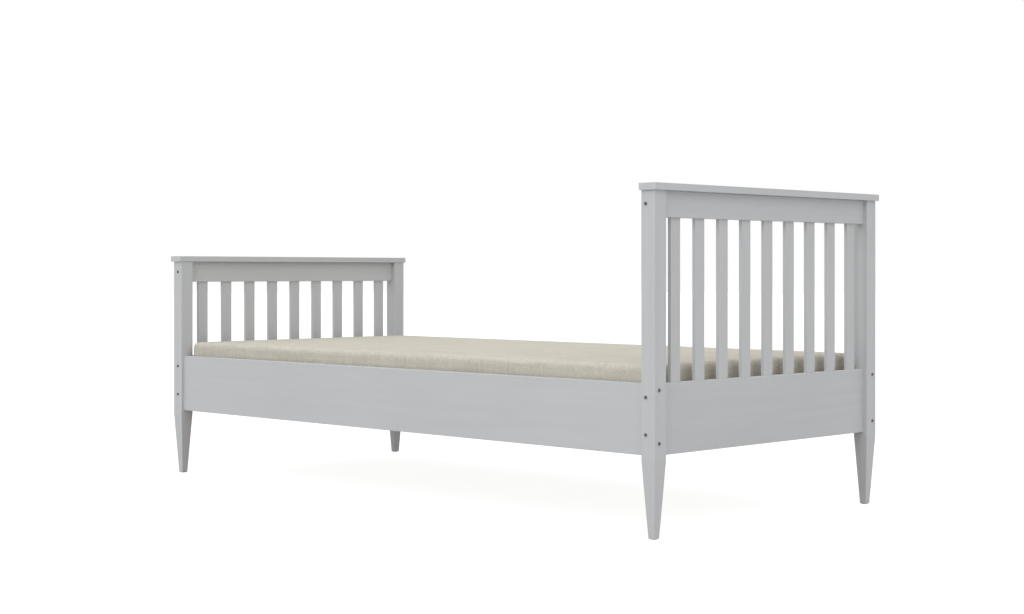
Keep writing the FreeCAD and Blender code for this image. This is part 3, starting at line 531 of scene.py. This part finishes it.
@dataclass
class TimberFrame:
    """Boards and posts of the bed, which keep their own solids and get their finishes."""

    painted_upright: tuple[str, ...] = ("head_post", "foot_post", "head_slat", "foot_slat")
    painted_crosswise: tuple[str, ...] = (
        "head_bottom_rail", "foot_bottom_rail", "head_top_rail", "foot_top_rail", "head_cap", "foot_cap",
    )
    painted_lengthwise: tuple[str, ...] = ("side_rail_left", "side_rail_right")
    bare_crosswise: tuple[str, ...] = ("base_slat", "end_frame_dowels")
    bare_lengthwise: tuple[str, ...] = ("slat_ledger", "side_rail_dowels")
    bare_upright: tuple[str, ...] = ("cap_dowels",)

    def dress(self) -> int:
        """Gives each board the material of its finish and grain.

        Returns:
            How many nodes were dressed.
        """
        choices = [
            (self.painted_upright, PAINT, GrainRun.UPRIGHT),
            (self.painted_crosswise, PAINT, GrainRun.CROSSWISE),
            (self.painted_lengthwise, PAINT, GrainRun.LENGTHWISE),
            (self.bare_crosswise, BARE_WOOD, GrainRun.CROSSWISE),
            (self.bare_lengthwise, BARE_WOOD, GrainRun.LENGTHWISE),
            (self.bare_upright, BARE_WOOD, GrainRun.UPRIGHT),
        ]
        return sum(coat(names, finish.material(run)) for names, finish, run in choices)


@dataclass
class Hardware:
    """Bolts, nuts, screws and glides, which keep their own solids and get their finishes."""

    bolts: tuple[str, ...] = ("end_frame_bolts", "side_rail_bolts")
    painted_nuts: tuple[str, ...] = ("end_frame_barrel_nuts",)
    zinc_pieces: tuple[str, ...] = ("side_rail_barrel_nuts", "ledger_screws", "base_slat_screws")
    glides: tuple[str, ...] = ("leg_glides",)

    def dress(self) -> int:
        """Gives each fastener and glide the material of its finish.

        Returns:
            How many nodes were dressed.
        """
        choices = [
            (self.bolts, BOLT_STEEL),
            (self.painted_nuts, NUT_PAINT),
            (self.zinc_pieces, ZINC),
            (self.glides, GLIDE_PLASTIC),
        ]
        return sum(coat(names, finish.material()) for names, finish in choices)


def coordinates(mesh: bpy.types.Mesh) -> np.ndarray:
    """Coordinates of a mesh's vertices.

    Args:
        mesh: the mesh.

    Returns:
        The coordinates, one vertex a row.
    """
    flat = np.empty(len(mesh.vertices) * 3, np.float32)
    mesh.vertices.foreach_get("co", flat)
    return flat.reshape(-1, 3).astype(float)


def set_coordinates(mesh: bpy.types.Mesh, points: np.ndarray) -> None:
    """Moves a mesh's vertices to new coordinates, one a row."""
    mesh.vertices.foreach_set("co", points.astype(np.float32).ravel())
    mesh.update()


def add_piece(name: str, mesh: bpy.types.Mesh) -> bpy.types.Object:
    """Puts a mesh into the scene.

    Args:
        name: the piece's name.
        mesh: its mesh.

    Returns:
        The piece.
    """
    piece = bpy.data.objects.new(name, mesh)
    bpy.context.scene.collection.objects.link(piece)
    return piece


@dataclass
class Mattress:
    """Foam mattress in its cover: a crowned form whose cloth is drawn over it.

    Attributes:
        body: body that it rides on.
        cover_node, core_node: solids that it takes the place of.
        fullness: how much half its size grows along each axis.
        edge_radii: how far the round edges reach along each axis.
        edge_cells, cell: cells of the grid across a round edge, and size of the other cells, about.
        crown: how much higher its top is in the middle than at the edges.
        draw: how far its sides are drawn in at their middle.
        pressure: pressure that swells the cover.
        hold: how firmly the cover is held where it may swell.
        floor_reach: how far up from its bottom the cover is held fast.
        excess: how much larger the cover is than the form, as a share.
        cloth_mass, quality, frames: settings of the simulation.
        reach: how far the cover may go from the form.
    """

    body: str = "mattress"
    cover_node: str = "mattress_cover"
    core_node: str = "mattress_core"
    fullness: Point = (0.0, 0.0025, 0.0)
    edge_radii: Point = (0.016, 0.018, 0.017)
    edge_cells: int = 4
    cell: float = 0.0155
    crown: float = 0.003
    draw: float = 0.002
    pressure: float = 15.0
    hold: float = 0.55
    floor_reach: float = 0.002
    excess: float = 0.002
    cloth_mass: float = 0.3
    quality: int = 6
    frames: int = 20
    reach: float = 0.003

    def build(self) -> bpy.types.Object:
        """Makes the mattress in the place of its solids.

        Returns:
            The mattress.
        """
        low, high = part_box(self.cover_node)
        piece = self.draft(np.array(low), np.array(high))
        self.draw_cloth(piece)
        self.smooth(piece)
        piece.data.materials.append(COVER_CLOTH.material())
        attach(piece, self.body)
        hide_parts(self.cover_node, self.core_node)
        return piece

    def stations(self, half: float, radius: float) -> np.ndarray:
        """Places of the grid's lines along one axis, close together where the edge is round.

        Args:
            half: half the size along the axis.
            radius: how far the round edge reaches along it.

        Returns:
            The places, from one side to the other.
        """
        flat = half - radius
        count = max(2, round(2 * flat / self.cell))
        bend = flat + radius * np.tan(np.linspace(0, math.pi / 4, self.edge_cells + 1))[1:]
        return np.concatenate((-bend[::-1], np.linspace(-flat, flat, count + 1), bend))

    def draft(self, low: np.ndarray, high: np.ndarray) -> bpy.types.Object:
        """Closed grid over a box with round edges, drawn in at its sides and crowned on top.

        Args:
            low: lowest corner of the mattress.
            high: its highest corner.

        Returns:
            The mattress before its cloth is drawn over it.
        """
        middle = (low + high) / 2
        half = (high - low) / 2 + np.array(self.fullness)
        half[2] -= self.crown / 2
        lines = [self.stations(size, radius) for size, radius in zip(half, self.edge_radii)]
        last = [len(line) - 1 for line in lines]
        numbers: dict[tuple[int, int, int], int] = {}
        points: list[np.ndarray] = []
        faces: list[tuple[int, ...]] = []

        def corner(key: tuple[int, int, int]) -> int:
            """Finds a point of the grid, and makes it if it is new.

            Args:
                key: numbers of the grid's lines that cross there.

            Returns:
                The point's number.
            """
            if key not in numbers:
                numbers[key] = len(points)
                points.append(np.array([lines[axis][key[axis]] for axis in range(3)]))
            return numbers[key]

        for axis in range(3):
            first, second = (axis + 1) % 3, (axis + 2) % 3
            ends = (0, last[axis])
            for level, row, column in product(ends, range(last[first]), range(last[second])):
                keys = []
                for step, rise in ((0, 0), (1, 0), (1, 1), (0, 1)):
                    key = {axis: level, first: row + step, second: column + rise}
                    keys.append(corner((key[0], key[1], key[2])))
                faces.append(tuple(keys if level else keys[::-1]))
        shaped = self.shape(np.array(points), half)
        shaped += middle
        shaped[:, 2] += low[2] + half[2] - middle[2]
        mesh = bpy.data.meshes.new("mattress")
        mesh.from_pydata(shaped.tolist(), [], faces)
        mesh.validate()
        return add_piece("mattress", mesh)

    def shape(self, points: np.ndarray, half: np.ndarray) -> np.ndarray:
        """Rounds a box's edges, draws its sides in and crowns its top.

        Args:
            points: points on the box, one a row, about its middle.
            half: half the box's sizes.

        Returns:
            The points on the mattress's form.
        """
        radii = np.array(self.edge_radii)
        inner = np.clip(points, radii - half, half - radii)
        out = (points - inner) / radii
        length = np.maximum(np.linalg.norm(out, axis=1, keepdims=True), TINY)
        made = inner + radii * out / length
        share = made / half
        lift = np.clip(1 - np.maximum(share[:, 0] ** 2, share[:, 1] ** 2), 0, 1)
        made[:, 0] *= 1 - self.draw / half[0] * (1 - share[:, 1] ** 2)
        made[:, 1] *= 1 - self.draw / half[1] * (1 - share[:, 0] ** 2)
        made[:, 2] += self.crown * np.sqrt(lift) * np.clip(share[:, 2], 0, 1)
        return made

    def draw_cloth(self, piece: bpy.types.Object) -> None:
        """Swells the cover by cloth simulation, with its bottom held, and keeps each point within reach.

        Args:
            piece: the mattress.
        """
        rest = coordinates(piece.data)
        held = piece.vertex_groups.new(name="held")
        held.add(range(len(rest)), self.hold, "REPLACE")
        floor = rest[:, 2].min() + self.floor_reach
        held.add([int(number) for number in np.flatnonzero(rest[:, 2] < floor)], 1.0, "REPLACE")
        modifier = piece.modifiers.new("cover", "CLOTH")
        settings = modifier.settings
        settings.quality = self.quality
        settings.mass = self.cloth_mass
        settings.use_pressure = True
        settings.uniform_pressure_force = self.pressure
        settings.effector_weights.gravity = 0.0
        settings.vertex_group_mass = held.name
        settings.shrink_min = -self.excess
        modifier.collision_settings.use_collision = False
        modifier.point_cache.frame_end = self.frames
        scene = bpy.context.scene
        for number in range(1, self.frames + 1):
            scene.frame_set(number)
        evaluated = piece.evaluated_get(bpy.context.evaluated_depsgraph_get())
        moved = coordinates(evaluated.data) - rest
        length = np.linalg.norm(moved, axis=1, keepdims=True)
        kept = self.reach * np.tanh(length / self.reach) / np.maximum(length, TINY)
        piece.modifiers.remove(modifier)
        piece.vertex_groups.clear()
        scene.frame_set(1)
        set_coordinates(piece.data, rest + moved * kept)

    @staticmethod
    def smooth(piece: bpy.types.Object) -> None:
        """Divides the mesh once and shades it smooth.

        Args:
            piece: the mattress.
        """
        modifier = piece.modifiers.new("divide", "SUBSURF")
        modifier.levels = 1
        modifier.render_levels = 1
        evaluated = piece.evaluated_get(bpy.context.evaluated_depsgraph_get())
        divided = bpy.data.meshes.new_from_object(evaluated)
        piece.modifiers.remove(modifier)
        piece.data = divided
        divided.name = piece.name
        divided.polygons.foreach_set("use_smooth", [True] * len(divided.polygons))


@dataclass(frozen=True)
class Spot:
    """Place on the mattress's side, with the ways along the side, up it and out of it."""

    point: Vector
    along: Vector
    up: Vector
    out: Vector

    def at(self, along: float, up: float, out: float) -> Vector:
        """Point that lies off the place by some way along, up and out."""
        return self.point + self.along * along + self.up * up + self.out * out


class Stock:
    """Points and faces of a piece that is put together from many small plates."""

    def __init__(self) -> None:
        """Starts with nothing made."""
        self.points: list[Vector] = []
        self.faces: list[tuple[int, ...]] = []

    def band(self, rings: list[list[Vector]], closed: bool) -> None:
        """Skin through rings of points.

        Args:
            rings: the rings, each with as many points.
            closed: whether the last ring joins the first one, or both ends get a cap.
        """
        count = len(rings[0])
        start = len(self.points)
        self.points.extend(point for ring in rings for point in ring)
        for row in range(len(rings) if closed else len(rings) - 1):
            here = start + row * count
            there = start + (row + 1) % len(rings) * count
            for place in range(count):
                after = (place + 1) % count
                self.faces.append((here + place, here + after, there + after, there + place))
        if not closed:
            end = start + len(rings) * count
            self.faces.append(tuple(range(start + count - 1, start - 1, -1)))
            self.faces.append(tuple(range(end - count, end)))

    def plate(self, spot: Spot, outline: list[Pair], levels: Pairs, middle: Pair = (0.0, 0.0)) -> None:
        """Plate that lies on a side.

        Args:
            spot: where it lies.
            outline: its corners about its middle, along and up.
            levels: how far out each of its layers is, and how large the outline is there.
            middle: its middle, along and up from the spot.
        """
        rings = []
        for out, share in levels:
            corners = [(middle[0] + along * share, middle[1] + up * share) for along, up in outline]
            rings.append([spot.at(along, up, out) for along, up in corners])
        self.band(rings, closed=False)

    def ring(self, spot: Spot, outline: list[Pair], share: float, reach: Pair, middle: Pair) -> None:
        """Flat ring that stands off a side.

        Args:
            spot: where it is.
            outline: its outer corners about its middle, along and up.
            share: size of its hole as a share of the outline.
            reach: how far out its back and its front are.
            middle: its middle, along and up from the spot.
        """
        low, high = reach
        section = ((1.0, low), (1.0, high), (share, high), (share, low))
        rings = []
        for along, up in outline:
            corners = [(middle[0] + along * size, middle[1] + up * size, out) for size, out in section]
            rings.append([spot.at(*corner) for corner in corners])
        self.band(rings, closed=True)

    def build(self, name: str, material: bpy.types.Material) -> bpy.types.Object:
        """Makes the piece, with its faces turned outward.

        Args:
            name: its name.
            material: its material.

        Returns:
            The piece.
        """
        mesh = bpy.data.meshes.new(name)
        mesh.from_pydata([tuple(point) for point in self.points], [], self.faces)
        mesh.validate()
        outward = bmesh.new()
        outward.from_mesh(mesh)
        bmesh.ops.recalc_face_normals(outward, faces=outward.faces)
        outward.to_mesh(mesh)
        outward.free()
        mesh.materials.append(material)
        return add_piece(name, mesh)


def oval(length: float, width: float, corners: int) -> list[Pair]:
    """Corners of an oval, in order, from its sizes along and up."""
    turns = [2 * math.pi * (number + 0.5) / corners for number in range(corners)]
    return [(length / 2 * math.cos(turn), width / 2 * math.sin(turn)) for turn in turns]


@dataclass(frozen=True)
class ZipSlider:
    """Slider on a zip's teeth: a body with a bridge on it, and a pull that hangs down from the bridge.

    Attributes:
        nose, shoulder, tail: half widths of the body, each with its place along from the middle.
        body_levels, bridge_levels: layers, each with its height and its share of the outline.
        bridge_size, pull_size: sizes along the zip and up.
        pull_hole: size of the pull's hole as a share of the pull.
        pull_reach: how far out the pull's back and front are.
        pull_middle: middle of the pull, along and up from the slider's middle.
    """

    nose: Pair = (0.0026, -0.0055)
    shoulder: Pair = (0.0044, 0.0035)
    tail: Pair = (0.003, 0.0058)
    body_levels: Pairs = ((0.0004, 0.92), (0.001, 1.0), (0.0017, 1.0), (0.0021, 0.86))
    bridge_size: Pair = (0.0075, 0.0022)
    bridge_levels: Pairs = ((0.0019, 1.0), (0.0032, 0.92), (0.0036, 0.6))
    pull_size: Pair = (0.0062, 0.0195)
    pull_hole: float = 0.55
    pull_reach: Pair = (0.0022, 0.0031)
    pull_middle: Pair = (0.001, -0.0085)

    def build(self, name: str, spot: Spot) -> bpy.types.Object:
        """Makes the slider.

        Args:
            name: its name.
            spot: where it sits on the zip.

        Returns:
            The slider.
        """
        lower = [(along, -half) for half, along in (self.nose, self.shoulder, self.tail)]
        upper = [(along, half) for half, along in (self.tail, self.shoulder, self.nose)]
        stock = Stock()
        stock.plate(spot, lower + upper, self.body_levels)
        stock.plate(spot, oval(*self.bridge_size, corners=10), self.bridge_levels)
        pull = oval(*self.pull_size, corners=16)
        stock.ring(spot, pull, self.pull_hole, self.pull_reach, self.pull_middle)
        return stock.build(name, ZINC.material())


@dataclass
class CoverZip:
    """Zip that runs low round the mattress's sides: its tape, teeth, stitches and slider.

    Attributes:
        body: body that it rides on.
        height: how far its middle is above the mattress's bottom.
        corner: radius of its way round the mattress's corners.
        cast_gap, cast_length: how far off its way the search for the cover starts, and how far it goes.
        tape_step: length of the tape's pieces.
        tape_edge: outline of the tape's upper half, up from its middle and out of the cover.
        tooth_pitch, stitch_pitch: distances from one to the next.
        tooth_size, stitch_size: sizes along the zip and up.
        tooth_levels, stitch_levels: layers, each with its height and its share of the outline.
        tooth_stagger: how far each tooth lies up or down from the middle.
        stitch_aside: how far each row of stitches is from the middle.
        slider_place: how much of the way round the slider is.
        reach, level, skin: half the mattress's sizes, height of the zip's middle and surface of the cover.
    """

    body: str = "mattress"
    height: float = 0.036
    corner: float = 0.016
    cast_gap: float = 0.02
    cast_length: float = 0.06
    tape_step: float = 0.005
    tape_edge: Pairs = ((0.01, -0.0008), (0.01, 0.0003), (0.009, 0.0006))
    tooth_pitch: float = 0.0026
    tooth_size: Pair = (0.0015, 0.0046)
    tooth_levels: Pairs = ((0.0002, 1.0), (0.00098, 1.0), (0.0014, 0.6))
    tooth_stagger: float = 0.0005
    stitch_pitch: float = 0.0055
    stitch_size: Pair = (0.0038, 0.0009)
    stitch_levels: Pairs = ((0.0001, 0.8), (0.0008, 1.0), (0.0011, 0.6))
    stitch_aside: float = 0.0076
    slider_place: float = 0.9
    reach: Pair = field(init=False)
    level: float = field(init=False)
    skin: BVHTree = field(init=False)

    def build(self, mattress: bpy.types.Object) -> list[bpy.types.Object]:
        """Makes the zip on a mattress.

        Args:
            mattress: the mattress.

        Returns:
            The zip's pieces.
        """
        corners = coordinates(mattress.data)
        half = np.abs(corners).max(0)
        self.reach = (float(half[0]), float(half[1]))
        self.level = float(corners[:, 2].min()) + self.height
        faces = [tuple(face.vertices) for face in mattress.data.polygons]
        self.skin = BVHTree.FromPolygons([tuple(point) for point in corners], faces)
        pieces = [self.build_tape(), self.build_teeth(), self.build_stitches()]
        slider = ZipSlider().build("mattress_zip_slider", self.spot(self.slider_place))
        pieces.append(slider)
        for piece in pieces:
            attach(piece, self.body)
        return pieces

    def length_round(self) -> float:
        """Length of the way round the mattress."""
        straight = 4 * (self.reach[0] + self.reach[1] - 2 * self.corner)
        return straight + 4 * QUARTER_TURN * self.corner

    def spot(self, share: float) -> Spot:
        """Place on the mattress's side.

        Args:
            share: how much of the way round it is, from the foot end of the right side.

        Returns:
            The place.
        """
        left = share % 1.0 * self.length_round()
        quarter = 0
        while True:
            long, deep = self.reach if quarter % 2 == 0 else self.reach[::-1]
            straight = 2 * (long - self.corner)
            if left < straight + QUARTER_TURN * self.corner:
                break
            left -= straight + QUARTER_TURN * self.corner
            quarter += 1
        turn = quarter * QUARTER_TURN
        along = Vector((math.cos(turn), math.sin(turn), 0.0))
        aside = Vector((math.sin(turn), -math.cos(turn), 0.0))
        bend = max(0.0, left - straight) / self.corner
        away = aside * math.cos(bend) + along * math.sin(bend)
        centre = along * (min(left, straight) - straight / 2) + aside * (deep - self.corner)
        start = centre + away * (self.corner + self.cast_gap)
        start.z = self.level
        point, normal, _, _ = self.skin.ray_cast(start, -away, self.cast_length)
        up = (Vector((0.0, 0.0, 1.0)) - normal * normal.z).normalized()
        return Spot(point, up.cross(normal), up, normal)

    def walk(self, pitch: float) -> list[Spot]:
        """Places round the mattress that are about a pitch apart."""
        count = round(self.length_round() / pitch)
        return [self.spot(number / count) for number in range(count)]

    def build_tape(self) -> bpy.types.Object:
        """Woven tape, with its edges sunk into the cover.

        Returns:
            The tape.
        """
        section = [*self.tape_edge, *((-up, out) for up, out in reversed(self.tape_edge))]
        rings = [[spot.at(0.0, up, out) for up, out in section] for spot in self.walk(self.tape_step)]
        stock = Stock()
        stock.band(rings, closed=True)
        return stock.build("mattress_zip_tape", ZIP_TAPE.material())

    def build_teeth(self) -> bpy.types.Object:
        """Nylon teeth, which come from the two sides in turn.

        Returns:
            The teeth.
        """
        outline = oval(*self.tooth_size, corners=8)
        stock = Stock()
        for number, spot in enumerate(self.walk(self.tooth_pitch)):
            stock.plate(spot, outline, self.tooth_levels, (0.0, self.tooth_stagger * (-1) ** number))
        return stock.build("mattress_zip_teeth", ZIP_NYLON.material())

    def build_stitches(self) -> bpy.types.Object:
        """Two rows of stitches that hold the tape to the cover.

        Returns:
            The stitches.
        """
        outline = oval(*self.stitch_size, corners=6)
        stock = Stock()
        for spot in self.walk(self.stitch_pitch):
            for side in (-self.stitch_aside, self.stitch_aside):
                stock.plate(spot, outline, self.stitch_levels, (0.0, side))
        return stock.build("mattress_zip_stitches", THREAD.material())


@dataclass(frozen=True)
class Softbox:
    """Large soft lamp that points at the bed."""

    name: str
    place: Point
    width: float
    height: float
    watts: float
    colour: Colour
    target: Point = (0.0, 0.0, 0.4)

    def build(self) -> None:
        """Makes the lamp in its place."""
        light = bpy.data.lights.new(self.name, "AREA")
        light.shape = "RECTANGLE"
        light.size = self.width
        light.size_y = self.height
        light.energy = self.watts
        light.color = self.colour
        lamp = bpy.data.objects.new(self.name, light)
        lamp.location = self.place
        aim = Vector(self.target) - Vector(self.place)
        lamp.rotation_euler = aim.to_track_quat("-Z", "Y").to_euler()
        bpy.context.scene.collection.objects.link(lamp)


@dataclass
class Studio:
    """Camera at the photograph's place, pale floor and soft light.

    Attributes:
        camera_place, camera_turn: where the camera is, and degrees that it is turned left from +Y.
        camera_sight: how far it sees.
        focal_pixels: its focal length in pixels of the image.
        horizon_rise: how far the horizon is above the image's middle, in pixels.
        floor_size, floor_colour: size of the floor, and its colour for the light on the bed.
        floor_glow: how bright the floor is to the camera without any light on it.
        shadow_share: share of the light on it that adds to that.
        sky, sky_colour: strength and colour of the light from straight above.
    """

    camera_place: Point = (3.8033, -3.7519, 0.6633)
    camera_turn: float = 44.963
    camera_sight: float = 200.0
    focal_pixels: float = 1731.2
    horizon_rise: float = 35.2
    floor_size: float = 80.0
    floor_colour: Colour = (0.54, 0.54, 0.54)
    floor_glow: float = 0.93
    shadow_share: float = 0.2
    sky: float = 1.6
    sky_colour: Colour = (0.981, 0.995, 1.013)
    lamps: tuple[Softbox, ...] = (
        Softbox("side", (1.0, -8.4, 4.6), width=9.2, height=5.0, watts=298.0, colour=COOL),
        Softbox("front_high", (5.0, -0.6, 3.2), width=4.0, height=2.0, watts=21.5, colour=WARM),
        Softbox("front_low", (5.5, -0.9, 1.4), width=3.0, height=1.2, watts=14.0, colour=WARM),
    )

    def build(self) -> None:
        """Makes the camera, the world, the floor and the lamps."""
        self.build_camera()
        self.build_world()
        self.build_floor()
        for lamp in self.lamps:
            lamp.build()
        bpy.context.scene.view_settings.view_transform = "Standard"

    def build_camera(self) -> None:
        """Level camera whose frame is moved down to the bed."""
        camera = bpy.data.cameras.new("camera")
        camera.sensor_width = SENSOR_WIDTH
        camera.lens = self.focal_pixels * SENSOR_WIDTH / IMAGE_WIDTH
        camera.shift_y = -self.horizon_rise / IMAGE_WIDTH
        camera.clip_end = self.camera_sight
        place = bpy.data.objects.new("camera", camera)
        place.location = self.camera_place
        place.rotation_euler = (QUARTER_TURN, 0.0, math.radians(self.camera_turn))
        bpy.context.scene.collection.objects.link(place)
        bpy.context.scene.camera = place

    @staticmethod
    def seen(bench: Bench) -> bpy.types.NodeSocket:
        """1 for what the camera sees, directly, mirrored or through something, and 0 for light on the bed.

        Args:
            bench: bench of the world or of the floor's material.

        Returns:
            The socket with that number.
        """
        path = bench.add("ShaderNodeLightPath").outputs
        mirrored = bench.math("MAXIMUM", path["Is Glossy Ray"], path["Is Transmission Ray"])
        return bench.math("MAXIMUM", path["Is Camera Ray"], mirrored)

    def show(self, bench: Bench, lit: Feed, shown: Feed) -> bpy.types.NodeSocket:
        """Shader that lights the bed in one way and shows to the camera in another."""
        return bench.add("ShaderNodeMixShader", {0: self.seen(bench), 1: lit, 2: shown}).outputs[0]

    def build_world(self) -> None:
        """Soft light that grows from nothing at the horizon to its most overhead, in front of white."""
        world = bpy.data.worlds.new("studio")
        world.use_nodes = True
        bpy.context.scene.world = world
        bench = Bench(world.node_tree)
        bench.tree.nodes.clear()
        aim = bench.split(bench.add("ShaderNodeTexCoord").outputs["Generated"])
        strength = bench.math("MULTIPLY", bench.math("MAXIMUM", aim["Z"], 0.0), self.sky)
        light = bench.add("ShaderNodeBackground", {"Color": rgba(self.sky_colour), "Strength": strength})
        white = bench.add("ShaderNodeBackground", {"Color": rgba(WHITE), "Strength": 1.0})
        both = self.show(bench, light.outputs[0], white.outputs[0])
        bench.add("ShaderNodeOutputWorld", {"Surface": both})

    def build_floor(self) -> None:
        """Pale floor that the camera sees as white, with the bed's soft shadow on it."""
        reach = self.floor_size / 2
        corners = [(-reach, -reach, 0.0), (reach, -reach, 0.0), (reach, reach, 0.0), (-reach, reach, 0.0)]
        mesh = bpy.data.meshes.new("floor")
        mesh.from_pydata(corners, [], [(0, 1, 2, 3)])
        floor = add_piece("floor", mesh)
        material = bpy.data.materials.new("pale_floor")
        material.use_nodes = True
        bench = Bench(material.node_tree)
        bench.tree.nodes.clear()
        pale = bench.add("ShaderNodeBsdfDiffuse", {"Color": rgba(self.floor_colour)})
        white = bench.add("ShaderNodeEmission", {"Strength": self.floor_glow})
        shade = bench.add("ShaderNodeBsdfDiffuse", {"Color": rgba((self.shadow_share,) * 3)})
        shown = bench.add("ShaderNodeAddShader", {0: white.outputs[0], 1: shade.outputs[0]})
        both = self.show(bench, pale.outputs[0], shown.outputs[0])
        bench.add("ShaderNodeOutputMaterial", {"Surface": both})
        mesh.materials.append(material)


def main() -> None:
    """Builds and dresses the bed's pieces in order, then the studio round them."""
    logging.basicConfig(level=logging.INFO, format="%(name)s: %(message)s")
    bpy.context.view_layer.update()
    LOG.info("boards and posts dressed: %d", TimberFrame().dress())
    LOG.info("fasteners and glides dressed: %d", Hardware().dress())
    mattress = Mattress().build()
    LOG.info("%s: %d faces", mattress.name, len(mattress.data.polygons))
    for piece in CoverZip().build(mattress):
        LOG.info("%s: %d faces", piece.name, len(piece.data.polygons))
    Studio().build()


if __name__ == "__main__":
    main()
